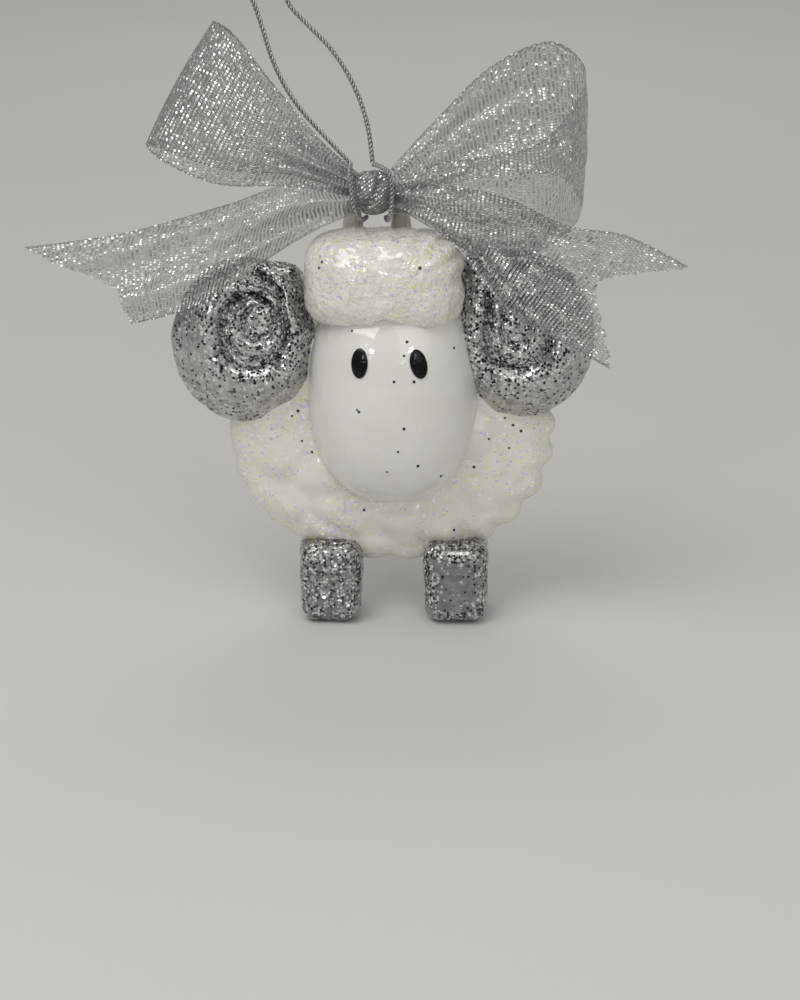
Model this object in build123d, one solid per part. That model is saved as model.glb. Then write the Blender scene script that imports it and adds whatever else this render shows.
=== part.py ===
from build123d import *

import math
import os

# A curly-horned sheep ornament with a ribbon bow and a cord hanger, in millimetres.
# +Z is up, the face looks along -Y, and the origin is on the ground between the two soles.
# Left and right are the viewer's, so left is -X.

# Feet
foot_width = 12.0
foot_depth = 16.0
foot_height = 16.0
foot_spacing = 23.8
foot_corner = 3.5
sole_round = 1.0

# Wool body: a flat-backed oval core with a ring of round scallops
body_width = 63.0
body_height = 54.0
body_back = 8.0
core_front = -4.0
core_round = 5.0
scallop_count = 18
scallop_radius = 7.0
scallop_proud = 1.5
foot_sink = 5.0

# Head: everything above the middle of the body leans a little to the left
head_lean = 0.075

# Face
face_width = 31.6
face_height = 42.0
face_rise = 8.0
face_seat = -1.0

# Enamel eyes
eye_width = 2.9
eye_height = 5.2
eye_spacing = 10.6
eye_rise = 7.8
eye_proud = 0.6
left_eye_turn = 4.0
right_eye_turn = 13.0

# Forelock
forelock_width = 30.0
forelock_height = 17.0
forelock_depth = 21.0
forelock_back = 5.0
forelock_round = 6.5
forelock_start = 13.3

# Horns: oval domes with a round groove between the rim and the middle coil
horn_width = 26.6
horn_height = 30.4
horn_back = 4.0
horn_front = -9.0
horn_rim_round = 5.5
horn_back_round = 2.5
horn_spacing = 52.7
horn_rise = 9.5
horn_step = 0.8
groove_share = 0.55
groove_radius = 1.5

# Hanging eye: a round bar bent like a staple
bar_diameter = 3.2
eye_gap = 5.6
eye_bend = 3.0
eye_stand = 4.1
eye_root = 5.0
eye_back = 3.0

# Ribbon
ribbon_width = 25.0
ribbon_thickness = 0.7
knot_width = 8.5
knot_depth = 6.5
knot_height = 8.2
knot_round = 2.5
knot_seat = 0.3
knot_rise = 1.9
knot_shift = -0.6
band_width = 3.8
band_thickness = 0.7
band_clearance = 0.35
tail_gap = 2.0
ribbon_steps = 2

# Cord
cord_diameter = 1.0
cord_stand = 0.9
cord_foot_back = 0.9
tie_clearance = 0.05
hole_clearance = 0.15
arc_share = 0.45

# Places worked out from the sizes above
body_z = foot_height - foot_sink + body_height / 2


def lean_x(z):
    """The sideways shift of a piece of the leaning head whose middle is at height z."""
    return -head_lean * (z - body_z)


face_z = body_z + face_rise
face_x = lean_x(face_z)
forelock_z = face_z + forelock_start + forelock_height / 2
forelock_x = lean_x(forelock_z)
forelock_y = forelock_back - forelock_depth / 2
forelock_top = forelock_z + forelock_height / 2
horn_z = face_z + horn_rise
horn_x = lean_x(horn_z)
bar_radius = bar_diameter / 2
bar_z = forelock_top + eye_stand
bar_x = lean_x(bar_z)
bar_y = eye_back
band_inner = bar_radius + band_clearance
band_outer = band_inner + band_thickness
knot_x = bar_x + knot_shift
knot_y = bar_y - band_outer + knot_seat - knot_depth / 2
knot_z = bar_z + knot_rise
knot_top = knot_z + knot_height / 2
tail_front = horn_front - tail_gap
cord_radius = cord_diameter / 2
tie_stand = cord_radius + tie_clearance
hole_z = bar_z - band_outer - cord_radius - hole_clearance


def ellipse_point(half_x, half_z, turn):
    """A point of an upright oval, turn degrees round from +X."""
    angle = math.radians(turn)
    return half_x * math.cos(angle), half_z * math.sin(angle)


def spheroid(width, height):
    """A solid of revolution about Z, oval from the side."""
    side = Ellipse(width / 2, height / 2) & Pos(width / 2, 0) * Rectangle(width, 2 * height)
    return revolve(Plane.XZ * side, Axis.Z)


def make_foot(x):
    block = Pos(x, 0, foot_height / 2) * Box(foot_width, foot_depth, foot_height)
    block = fillet(block.edges().filter_by(Axis.Z), foot_corner)
    sole = block.faces().sort_by(Axis.Z)[0]
    return fillet(sole.edges(), sole_round)


def make_wool():
    """The flat-backed core with its scallops, before its neighbours are cut into it."""
    core_half_x = body_width / 2 - scallop_proud
    core_half_z = body_height / 2 - scallop_proud
    back_plane = Plane((0, body_back, body_z), x_dir=(1, 0, 0), z_dir=(0, -1, 0))
    wool = extrude(back_plane * Ellipse(core_half_x, core_half_z), body_back - core_front)
    front_edge = wool.edges().sort_by(Axis.Y)[0]
    wool = fillet(front_edge, core_round)
    ring_x = body_width / 2 - scallop_radius
    ring_z = body_height / 2 - scallop_radius
    for number in range(scallop_count):
        x, z = ellipse_point(ring_x, ring_z, 360 * (number + 0.5) / scallop_count)
        wool += Pos(x, 0, body_z + z) * Sphere(scallop_radius)
    return wool


def make_face_pad():
    """The front half of an egg, with a flat seat."""
    egg = Pos(face_x, face_seat, face_z) * spheroid(face_width, face_height)
    return split(egg, Plane((0, face_seat, 0), z_dir=(0, -1, 0)), keep=Keep.TOP)


def make_eye(x, turn, face):
    """A raised oval of enamel that follows the face."""
    front = Plane((x, face_seat, face_z + eye_rise), x_dir=(1, 0, 0), z_dir=(0, -1, 0))
    oval = extrude(front * Rot(0, 0, turn) * Ellipse(eye_width / 2, eye_height / 2), face_width)
    egg = spheroid(face_width + 2 * eye_proud, face_height + 2 * eye_proud)
    return (oval & Pos(face_x, face_seat, face_z) * egg) - face


def make_forelock_block():
    block = Box(forelock_width, forelock_depth, forelock_height)
    block = fillet(block.edges(), forelock_round)
    return Pos(forelock_x, forelock_y, forelock_z) * block


def make_horn_dome(x, z):
    """An oval dome with a round groove in its front."""
    plane = Plane((x, horn_back, z), x_dir=(1, 0, 0), z_dir=(0, -1, 0))
    dome = extrude(plane * Ellipse(horn_width / 2, horn_height / 2), horn_back - horn_front)
    dome = fillet(dome.edges().sort_by(Axis.Y)[0], horn_rim_round)
    dome = fillet(dome.edges().sort_by(Axis.Y)[-1], horn_back_round)
    groove_plane = Plane((x, horn_front, z), x_dir=(1, 0, 0), z_dir=(0, -1, 0))
    return dome - groove_plane * Torus(groove_share * horn_width / 2, groove_radius)


def make_hanging_eye():
    """A round bar swept up one leg, across the top and down the other leg."""
    half = (eye_gap + bar_diameter) / 2
    root = forelock_top - eye_root
    corners = [(bar_x - half, bar_y, root), (bar_x - half, bar_y, bar_z)]
    corners += [(bar_x + half, bar_y, bar_z), (bar_x + half, bar_y, root)]
    path = FilletPolyline(*corners, radius=eye_bend)
    return sweep(Plane(corners[0], z_dir=(0, 0, 1)) * Circle(bar_radius), path=path)


def make_band():
    """The turn of ribbon round the bar of the eye."""
    across_bar = Plane((bar_x - band_width / 2, bar_y, bar_z), x_dir=(0, 1, 0), z_dir=(1, 0, 0))
    return extrude(across_bar * (Circle(band_outer) - Circle(band_inner)), band_width)


def make_knot():
    """A rounded lump in front of the bar, hollowed where it sits on the band."""
    lump = Pos(knot_x, knot_y, knot_z) * Box(knot_width, knot_depth, knot_height)
    lump = fillet(lump.edges(), knot_round)
    seat = Pos(bar_x, bar_y, bar_z) * Rot(0, 90, 0) * Cylinder(band_outer, 2 * knot_width)
    return lump - seat


def ribbon_section(middle, along, across, width, bow):
    """One slice of a ribbon: two shallow arcs and two short edges, bowed out by bow."""
    out = across.cross(along).normalized()
    low = middle - across * (width / 2)
    high = middle + across * (width / 2)
    inside = out * (-ribbon_thickness / 2)
    outside = out * (ribbon_thickness / 2)
    crest = middle + out * bow
    edges = [
        ThreePointArc(low + inside, crest + inside, high + inside),
        Line(high + inside, high + outside),
        ThreePointArc(high + outside, crest + outside, low + outside),
        Line(low + outside, low + inside),
    ]
    return make_face(edges)


def ribbon_slab(first, second):
    """The ribbon from one slice to the next."""
    slab = loft((first, second), ruled=True)
    # A twisted slab can come out inside out, with a negative volume.
    return slab if slab.volume > 0 else loft((second, first), ruled=True)


def between(values, number, share):
    """A smooth curve through values, share of the way on from one of them to the next."""
    before = values[max(number - 1, 0)]
    here = values[number]
    following = values[number + 1]
    after = values[min(number + 2, len(values) - 1)]
    bend = (following - before) * share + (before * 2 - here * 5 + following * 4 - after) * share**2
    return here + (bend + (here * 3 - before - following * 3 + after) * share**3) / 2


def make_ribbon(stations):
    """A ribbon through stations of (middle, across, gather, bow), lofted slice by slice."""
    lists = [
        [Vector(*middle) for middle, _, _, _ in stations],
        [Vector(*across) for _, across, _, _ in stations],
        [gather * ribbon_width for _, _, gather, _ in stations],
        [bow for _, _, _, bow in stations],
    ]
    spans = len(stations) - 1
    steps = [divmod(count, ribbon_steps) for count in range(spans * ribbon_steps)]
    steps.append((spans - 1, ribbon_steps))
    slices = [[between(values, number, step / ribbon_steps) for values in lists] for number, step in steps]
    middles = [values[0] for values in slices]
    sections = []
    for number, (middle, across, width, bow) in enumerate(slices):
        following = middles[min(number + 1, len(middles) - 1)]
        along = (following - middles[max(number - 1, 0)]).normalized()
        sections.append(ribbon_section(middle, along, across.normalized(), width, bow))
    pieces = [ribbon_slab(first, second) for first, second in zip(sections, sections[1:])]
    return pieces[0].fuse(*pieces[1:])


def knot_place(dx, dy, dz):
    return knot_x + dx, knot_y + dy, knot_z + dz


def tail_place(dx, forward, dz):
    """A place beside the knot, forward of it by a share of the way to the front of the horns."""
    return knot_x + dx, knot_y + forward * (tail_front - knot_y), knot_z + dz


def make_left_loop():
    """Out along the front, round the fold at the far end and back along the rear."""
    slant = (0.5, 0.08, 0.86)
    stations = [
        (knot_place(-3.2, 0.2, 1.0), (0.2, 0, 1), 0.16, 0.3),
        (knot_place(-13.0, -1.4, 4.6), (0.35, 0, 0.94), 0.40, 0.8),
        (knot_place(-24.0, -2.2, 10.4), (0.45, 0.05, 0.89), 0.72, 1.2),
        (knot_place(-33.0, -0.4, 16.6), slant, 0.96, 1.0),
        (knot_place(-37.0, 4.0, 19.4), slant, 1.0, 0.6),
        (knot_place(-33.4, 8.4, 17.0), slant, 0.96, 0.9),
        (knot_place(-24.0, 9.4, 10.8), (0.45, 0.05, 0.89), 0.72, 1.0),
        (knot_place(-13.0, 6.8, 4.8), (0.35, 0, 0.94), 0.40, 0.7),
        (knot_place(-3.2, 2.4, 1.2), (0.2, 0, 1), 0.16, 0.3),
    ]
    return make_ribbon(stations)


def make_right_loop():
    """Out and up along the rear, down round the far end and back along the front."""
    # The front panel rises with the ribbon's width, to clear the tail that passes under it.
    outer_rise = 0.58 * ribbon_width - 13.1
    inner_rise = 0.5 * ribbon_width - 13.5
    stations = [
        (knot_place(3.2, 2.4, 1.2), (-0.2, 0, 1), 0.16, 0.3),
        (knot_place(13.0, 6.0, 6.4), (-0.25, 0, 0.97), 0.48, 0.8),
        (knot_place(23.0, 8.2, 11.4), (-0.2, 0, 0.98), 0.80, 1.2),
        (knot_place(32.0, 7.2, 13.0), (-0.1, 0, 1), 0.98, 1.0),
        (knot_place(36.6, 3.0, 9.6), (0, 0, 1), 1.0, 0.6),
        (knot_place(35.6, -3.0, 6.0), (0, 0, 1), 1.0, 0.8),
        (knot_place(29.0, -8.8, outer_rise), (0, 0, 1), 0.76, 1.2),
        (knot_place(19.0, -8.8, inner_rise), (0, 0, 1), 0.60, 1.4),
        (knot_place(10.0, -5.0, 0.4), (0, 0, 1), 0.38, 0.8),
        (knot_place(3.2, -1.2, 0), (0, 0, 1), 0.16, 0.3),
    ]
    return make_ribbon(stations)


def swallow_cut(tip, notch, low, reach):
    """A prism that trims a ribbon's end to a long tip, a notch and a low tip."""
    far = Vector(reach, 0)
    corners = [Vector(*tip), Vector(*notch), Vector(*low), Vector(*low) + far, Vector(*tip) + far]
    corners[3] += Vector(0, -abs(reach))
    corners[4] += Vector(0, abs(reach))
    outline = Plane.XZ * make_face(Polyline(*corners, close=True))
    return extrude(outline, amount=body_width, both=True)


def make_left_tail():
    stations = [
        (tail_place(-3.2, 0.12, -1.4), (0.1, 0, 1), 0.16, 0.3),
        (tail_place(-14.0, 0.5, -3.8), (0.15, 0.2, 0.97), 0.33, 0.8),
        (tail_place(-28.5, 0.95, -10.2), (0.25, 0.25, 0.94), 0.64, 1.6),
        (tail_place(-44.5, 1.0, -14.2), (-0.05, 0.25, 0.97), 0.66, 1.8),
        (tail_place(-66.0, 1.0, -18.0), (-0.3, 0.2, 0.93), 0.70, 1.4),
    ]
    tip = (knot_x - 62.0, knot_z - 10.0)
    notch = (knot_x - 46.0, knot_z - 16.0)
    low = (knot_x - 43.5, knot_z - 23.5)
    return make_ribbon(stations) - swallow_cut(tip, notch, low, -ribbon_width)


def make_right_tail():
    stations = [
        (tail_place(3.2, -0.02, -2.0), (0.2, 0.1, 0.97), 0.16, 0.3),
        (tail_place(10.3, 0.2, -1.4), (0.3, 0.1, 0.95), 0.26, 0.6),
        (tail_place(20.2, 0.56, -5.0), (0.45, 0.2, 0.87), 0.36, 0.8),
        (tail_place(29.8, 0.97, -13.2), (0.55, 0.22, 0.8), 0.46, 1.0),
        (tail_place(39.8, 1.0, -16.8), (0.6, 0.2, 0.78), 0.90, 1.4),
        (tail_place(56.0, 1.0, -28.0), (0.6, 0.2, 0.78), 0.92, 1.2),
    ]
    tip = (knot_x + 56.2, knot_z - 13.9)
    notch = (knot_x + 40.6, knot_z - 14.2)
    low = (knot_x + 41.4, knot_z - 30.5)
    return make_ribbon(stations) - swallow_cut(tip, notch, low, ribbon_width)


def cord_tube(name, route):
    """A round tube along straight runs joined by arcs that are as large as the runs allow."""
    points = [Vector(*point) for point in route]
    runs = [after - before for before, after in zip(points, points[1:])]
    radii = []
    for run, following in zip(runs, runs[1:]):
        half_turn = math.radians(run.get_angle(following) / 2)
        radii.append(arc_share * min(run.length, following.length) / math.tan(half_turn))
    path = FilletPolyline(*points, radius=radii)
    tube = sweep(Plane(points[0], z_dir=runs[0]) * Circle(cord_radius), path=path)
    section_times_length = math.pi * cord_radius**2 * path.length
    print(name, "radii", [round(radius, 1) for radius in radii], "length", round(path.length, 1))
    print(name, "volume", round(tube.volume, 2), "section times length", round(section_times_length, 2))
    return tube


def tie_place(across, forward, up):
    """A place round the knot, in shares of its half sizes with the cord lying on it."""
    half_width = knot_width / 2 + tie_stand
    half_depth = knot_depth / 2 + tie_stand
    half_height = knot_height / 2 + tie_stand
    return knot_x + across * half_width, knot_y - forward * half_depth, knot_z + up * half_height


def hole_place(across, forward, drop):
    """A place in the hole of the eye, under the band."""
    return bar_x + across * eye_gap / 2, bar_y - forward, hole_z - drop


def make_cord_ties():
    """The two stretches of cord that pass down over the knot and into the eye."""
    left_route = [
        tie_place(-0.86, 0.26, 0.96),
        tie_place(-0.84, 0.9, 0.78),
        tie_place(-0.76, 1.0, 0.08),
        tie_place(-0.68, 0.97, -0.6),
        tie_place(-0.46, 0.47, -1.05),
        hole_place(-0.71, 3.4, 0),
        hole_place(-0.68, 1.0, 0.3),
    ]
    right_route = [
        tie_place(0.38, 0.2, 1.03),
        tie_place(0.67, 0.79, 0.86),
        tie_place(0.77, 0.98, 0.17),
        tie_place(0.71, 0.95, -0.56),
        tie_place(0.58, 0.47, -1.05),
        hole_place(0.64, 3.4, 0),
        hole_place(0.61, 1.0, 0.3),
    ]
    return [cord_tube("left tie", left_route), cord_tube("right tie", right_route)]


def hanger_place(dx, dy, dz):
    """A place measured from the middle of the knot's top, at the height where the cord leaves it."""
    return knot_x + dx, knot_y + cord_foot_back + dy, knot_top + cord_stand + dz


def make_hanger_cord():
    """The free loop, up from the left of the knot, round the top and down to the right."""
    route = [
        hanger_place(-3.9, 0, 0),
        hanger_place(-8.7, 1.7, 4.6),
        hanger_place(-14.1, 2.7, 10.4),
        hanger_place(-17.7, 3.7, 16.8),
        hanger_place(-19.6, 4.7, 22.9),
        hanger_place(-21.1, 5.4, 27.6),
        hanger_place(-23.2, 5.8, 31.5),
        hanger_place(-21.9, 6.0, 35.3),
        hanger_place(-18.0, 6.0, 35.7),
        hanger_place(-15.6, 5.9, 32.3),
        hanger_place(-15.8, 5.6, 28.0),
        hanger_place(-11.6, 5.1, 23.9),
        hanger_place(-7.1, 4.6, 19.5),
        hanger_place(-3.8, 3.6, 14.4),
        hanger_place(-1.6, 2.6, 9.2),
        hanger_place(-0.4, 1.4, 4.2),
        hanger_place(0, 0, 0),
    ]
    return cord_tube("hanger cord", route)


face = make_face_pad()
forelock_block = make_forelock_block()
hanging_eye = make_hanging_eye()
left_dome = make_horn_dome(horn_x - horn_spacing / 2, horn_z - horn_step)
right_dome = make_horn_dome(horn_x + horn_spacing / 2, horn_z + horn_step)
wool_body = make_wool() - face - forelock_block - left_dome - right_dome

nodes = {
    "wool_body": wool_body,
    "face": face,
    "forelock": forelock_block - face - hanging_eye,
    "left_horn": left_dome - face - forelock_block,
    "right_horn": right_dome - face - forelock_block,
    "left_foot": make_foot(-foot_spacing / 2) - wool_body,
    "right_foot": make_foot(foot_spacing / 2) - wool_body,
    "hanging_eye": hanging_eye,
    "left_eye": make_eye(face_x - eye_spacing / 2, left_eye_turn, face),
    "right_eye": make_eye(face_x + eye_spacing / 2, right_eye_turn, face),
    "ribbon_band": make_band(),
    "ribbon_knot": make_knot(),
    "cord_ties": make_cord_ties(),
    "hanger_cord": make_hanger_cord(),
}
knot = nodes["ribbon_knot"]
nodes["ribbon_left_loop"] = make_left_loop() - knot
nodes["ribbon_right_loop"] = make_right_loop() - knot
nodes["ribbon_left_tail"] = make_left_tail() - knot
nodes["ribbon_right_tail"] = make_right_tail() - knot

os.makedirs("parts", exist_ok=True)
for name, shape in nodes.items():
    solids = shape if isinstance(shape, list) else shape.solids()
    export_step(Compound(children=list(solids)), f"parts/{name}.step")
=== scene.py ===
import math
import random

import bmesh
import bpy
from mathutils import Matrix, Vector, noise
from mathutils.bvhtree import BVHTree


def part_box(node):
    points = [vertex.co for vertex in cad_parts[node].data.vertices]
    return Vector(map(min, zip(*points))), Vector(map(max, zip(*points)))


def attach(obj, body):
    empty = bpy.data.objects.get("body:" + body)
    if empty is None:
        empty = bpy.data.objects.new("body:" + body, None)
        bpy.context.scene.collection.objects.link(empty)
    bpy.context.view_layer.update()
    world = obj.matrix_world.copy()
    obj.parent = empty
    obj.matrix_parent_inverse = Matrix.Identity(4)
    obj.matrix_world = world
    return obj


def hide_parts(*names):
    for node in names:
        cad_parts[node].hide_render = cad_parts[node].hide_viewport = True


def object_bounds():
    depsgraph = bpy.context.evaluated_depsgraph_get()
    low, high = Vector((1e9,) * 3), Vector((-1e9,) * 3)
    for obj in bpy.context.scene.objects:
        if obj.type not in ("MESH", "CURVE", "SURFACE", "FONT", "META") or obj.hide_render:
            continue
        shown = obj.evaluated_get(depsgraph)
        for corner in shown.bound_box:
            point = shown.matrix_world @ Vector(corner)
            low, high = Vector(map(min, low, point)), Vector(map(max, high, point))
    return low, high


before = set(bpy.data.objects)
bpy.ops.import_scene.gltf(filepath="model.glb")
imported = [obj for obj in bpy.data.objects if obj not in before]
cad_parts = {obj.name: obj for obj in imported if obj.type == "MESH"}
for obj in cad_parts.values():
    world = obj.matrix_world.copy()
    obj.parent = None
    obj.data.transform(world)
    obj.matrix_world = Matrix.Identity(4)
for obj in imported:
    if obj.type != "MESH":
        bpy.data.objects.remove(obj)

# A curly-horned sheep ornament with a sheer ribbon bow and a twisted cord loop, in metres.
# The face looks along -Y, and left and right are the viewer's, so left is -X.
MM = 0.001
scene = bpy.context.scene
cad_low, cad_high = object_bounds()


class Socket:
    """An output of a shader node that takes part in plain arithmetic."""

    def __init__(self, shader, output):
        self.shader = shader
        self.output = output

    def math(self, operation, *values):
        return self.shader.add("ShaderNodeMath", {"operation": operation}, dict(enumerate(values)))

    def __add__(self, other):
        return self.math("ADD", self, other)

    def __radd__(self, other):
        return self.math("ADD", other, self)

    def __sub__(self, other):
        return self.math("SUBTRACT", self, other)

    def __rsub__(self, other):
        return self.math("SUBTRACT", other, self)

    def __mul__(self, other):
        return self.math("MULTIPLY", self, other)

    def __rmul__(self, other):
        return self.math("MULTIPLY", other, self)

    def __truediv__(self, other):
        return self.math("DIVIDE", self, other)

    def __gt__(self, other):
        return self.math("GREATER_THAN", self, other)

    def __lt__(self, other):
        return self.math("LESS_THAN", self, other)

    def whole(self):
        return self.math("FLOOR", self)

    def part(self):
        return self.math("FRACT", self)

    def size(self):
        return self.math("ABSOLUTE", self)

    def step(self, low, high):
        """A soft step from 0 at low to 1 at high."""
        inputs = {"Value": self, "From Min": low, "From Max": high}
        return self.shader.add("ShaderNodeMapRange", {"interpolation_type": "SMOOTHSTEP"}, inputs)


class Shader:
    """The nodes of one material or of the world."""

    def __init__(self, tree):
        self.tree = tree
        tree.nodes.clear()

    def add(self, kind, settings=None, inputs=None, output=0):
        node = self.tree.nodes.new(kind)
        for name, value in (settings or {}).items():
            setattr(node, name, value)
        for name, value in (inputs or {}).items():
            if isinstance(value, Socket):
                self.tree.links.new(value.output, node.inputs[name])
            else:
                node.inputs[name].default_value = value
        return Socket(self, node.outputs[output])

    def place(self):
        return self.add("ShaderNodeTexCoord", output="Object")

    def mix(self, share, first, second):
        """A colour between two others."""
        settings = {"data_type": "RGBA"}
        return self.add("ShaderNodeMix", settings, {0: share, 6: first, 7: second}, output=2)

    def blotches(self, vector, scale, detail=2.0, distortion=0.0):
        inputs = {"Vector": vector, "Scale": scale, "Detail": detail, "Distortion": distortion}
        return self.add("ShaderNodeTexNoise", None, inputs)

    def flakes(self, vector, scale, spread=1.0):
        """Cells the size of a flake: the way to a cell's middle, and three random values for the cell."""
        inputs = {"Vector": vector, "Scale": scale, "Randomness": spread}
        distance = self.add("ShaderNodeTexVoronoi", None, inputs)
        colour = Socket(self, distance.output.node.outputs["Color"])
        chances = [self.add("ShaderNodeSeparateColor", None, {0: colour}, channel) for channel in range(3)]
        return distance, colour, chances

    def bump(self, height, strength, distance, normal=None):
        inputs = {"Height": height, "Strength": strength, "Distance": distance}
        if normal is not None:
            inputs["Normal"] = normal
        return self.add("ShaderNodeBump", None, inputs)

    def surface(self, inputs):
        shading = self.add("ShaderNodeBsdfPrincipled", None, inputs)
        self.add_output(shading)

    def add_output(self, shading):
        output = self.tree.nodes.new("ShaderNodeOutputMaterial")
        self.tree.links.new(shading.output, output.inputs["Surface"])


def new_finish(name):
    material = bpy.data.materials.new(name)
    material.use_nodes = True
    return material, Shader(material.node_tree)


def grey(value):
    return (value, value, value, 1)


# Finishes


def clay_finish(name, pale, shaded, flake_share, wave_scale, wave_height, coat_roughness, highlight_beads=()):
    """Varnished clay with a wavy varnish, faint stains and stray pearly flakes.

    Round each (place, reach) given, the varnish stands in thin wandering bead lines, raised by a bump and painted
    white as a highlight.
    """
    material, shader = new_finish(name)
    place = shader.place()
    stain = shader.blotches(place, 140.0, 4.0).step(0.35, 0.7)
    colour = shader.mix(stain, pale, shaded)
    distance, _, chances = shader.flakes(place, 1 / (0.62 * MM))
    density = shader.blotches(place, 75.0, 2.0).step(0.3, 0.68)
    chosen = (chances[0] < density * flake_share) * (distance < 0.48)
    tint = shader.mix(chances[1] > 0.5, (0.68, 0.64, 1.0, 1), (0.90, 0.86, 0.50, 1))
    tint = shader.mix(chances[2] > 0.62, tint, grey(1.0))
    colour = shader.mix(chosen * 0.85, colour, tint)
    waves = shader.blotches(place, wave_scale, 2.0, 1.6)
    grain = shader.blotches(place, 2400.0, 3.0)
    wavy = shader.bump(waves, 1.0, wave_height)
    normal = shader.bump(grain, 0.25, 0.03 * MM, wavy)
    for middle, reach in highlight_beads:
        away = shader.add("ShaderNodeVectorMath", {"operation": "DISTANCE"}, {0: place, 1: middle}, "Value")
        wander = shader.blotches(place, 330.0, 2.0, 1.2)
        bead = (1 - (wander - 0.5).size().step(0.0, 0.04)) * (1 - away.step(0.6 * reach, reach))
        # The white of each bead line is a painted highlight; its bump below is real
        colour = shader.mix(bead, colour, grey(1.0))
        normal = shader.bump(bead, 0.4, 0.12 * MM, normal)
    shader.surface(
        {
            "Base Color": colour,
            "Roughness": 0.42 + stain * 0.14 - chosen * 0.25,
            "Metallic": chosen * 0.3,
            "Normal": normal,
            "Coat Weight": 0.9,
            "Coat Roughness": coat_roughness,
            "Coat IOR": 1.75,
        }
    )
    return material


def glitter_finish(name, shade):
    """Silver paint with glitter in it: dark, mid and bright flakes, thick or thin as the piece says. The bright
    flakes' tone is a painted glint and the dark flakes' tone a painted dark reflection; each flake's tilt is real.
    """
    material, shader = new_finish(name)
    place = shader.place()
    distance, colour, chances = shader.flakes(place, 1 / (0.54 * MM))
    thick = shader.add("ShaderNodeAttribute", {"attribute_name": "glitter"}, None, "Fac")
    patch = shader.blotches(place, 210.0, 2.0, 0.4)
    shown = (chances[2] < thick * 1.25 + patch - 0.5) * (distance < 0.55)
    # Bright flakes are painted glints and dark flakes painted dark reflections; mid flakes differ at random
    painted_glint = chances[0] > 0.55
    painted_dark_reflection = chances[0] < 0.36
    tone = 0.36 + chances[1] * 0.26 + painted_glint * 0.38 - painted_dark_reflection * 0.45
    tone = tone.math("MAXIMUM", tone, 0.01)
    flake_colour = shader.add("ShaderNodeCombineColor", None, {0: tone, 1: tone, 2: tone})
    brushed = shader.blotches(place, 650.0, 4.0)
    paint = shader.mix(brushed.step(0.3, 0.75), grey(0.44 * shade), grey(0.74 * shade))
    turned = shader.add("ShaderNodeVectorMath", {"operation": "SUBTRACT"}, {0: colour, 1: (0.5, 0.5, 0.5)})
    turned = shader.add("ShaderNodeVectorMath", {"operation": "SCALE"}, {0: turned, "Scale": 0.12 + shown * 1.1})
    facing = shader.add("ShaderNodeNewGeometry", output="Normal")
    facing = shader.add("ShaderNodeVectorMath", {"operation": "ADD"}, {0: facing, 1: turned})
    facing = shader.add("ShaderNodeVectorMath", {"operation": "NORMALIZE"}, {0: facing})
    normal = shader.bump(brushed, 0.35, 0.1 * MM, facing)
    shader.surface(
        {
            "Base Color": shader.mix(shown, paint, flake_colour),
            "Roughness": 0.21 - shown * 0.05,
            "Metallic": 0.9,
            "Normal": normal,
            "Coat Weight": 0.35,
            "Coat Roughness": 0.12,
        }
    )
    return material


def flake_finish(name, tone, metallic):
    """One sort of loose flake, a little uneven."""
    material, shader = new_finish(name)
    uneven = shader.blotches(shader.place(), 1500.0, 2.0)
    colour = shader.mix(uneven, grey(tone * 0.7), grey(tone))
    shader.surface({"Base Color": colour, "Roughness": 0.2 + uneven * 0.2, "Metallic": metallic})
    return material


def enamel_finish():
    """Glossy black enamel with a little dust."""
    material, shader = new_finish("black_enamel")
    place = shader.place()
    dust = shader.blotches(place, 2200.0, 4.0).step(0.62, 0.85)
    swell = shader.blotches(place, 900.0, 1.0, 1.0)
    shader.surface(
        {
            "Base Color": shader.mix(dust, grey(0.003), grey(0.02)),
            "Roughness": 0.16 + dust * 0.25,
            "Normal": shader.bump(swell, 1.0, 0.1 * MM),
            "Specular IOR Level": 0.3,
        }
    )
    return material


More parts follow.
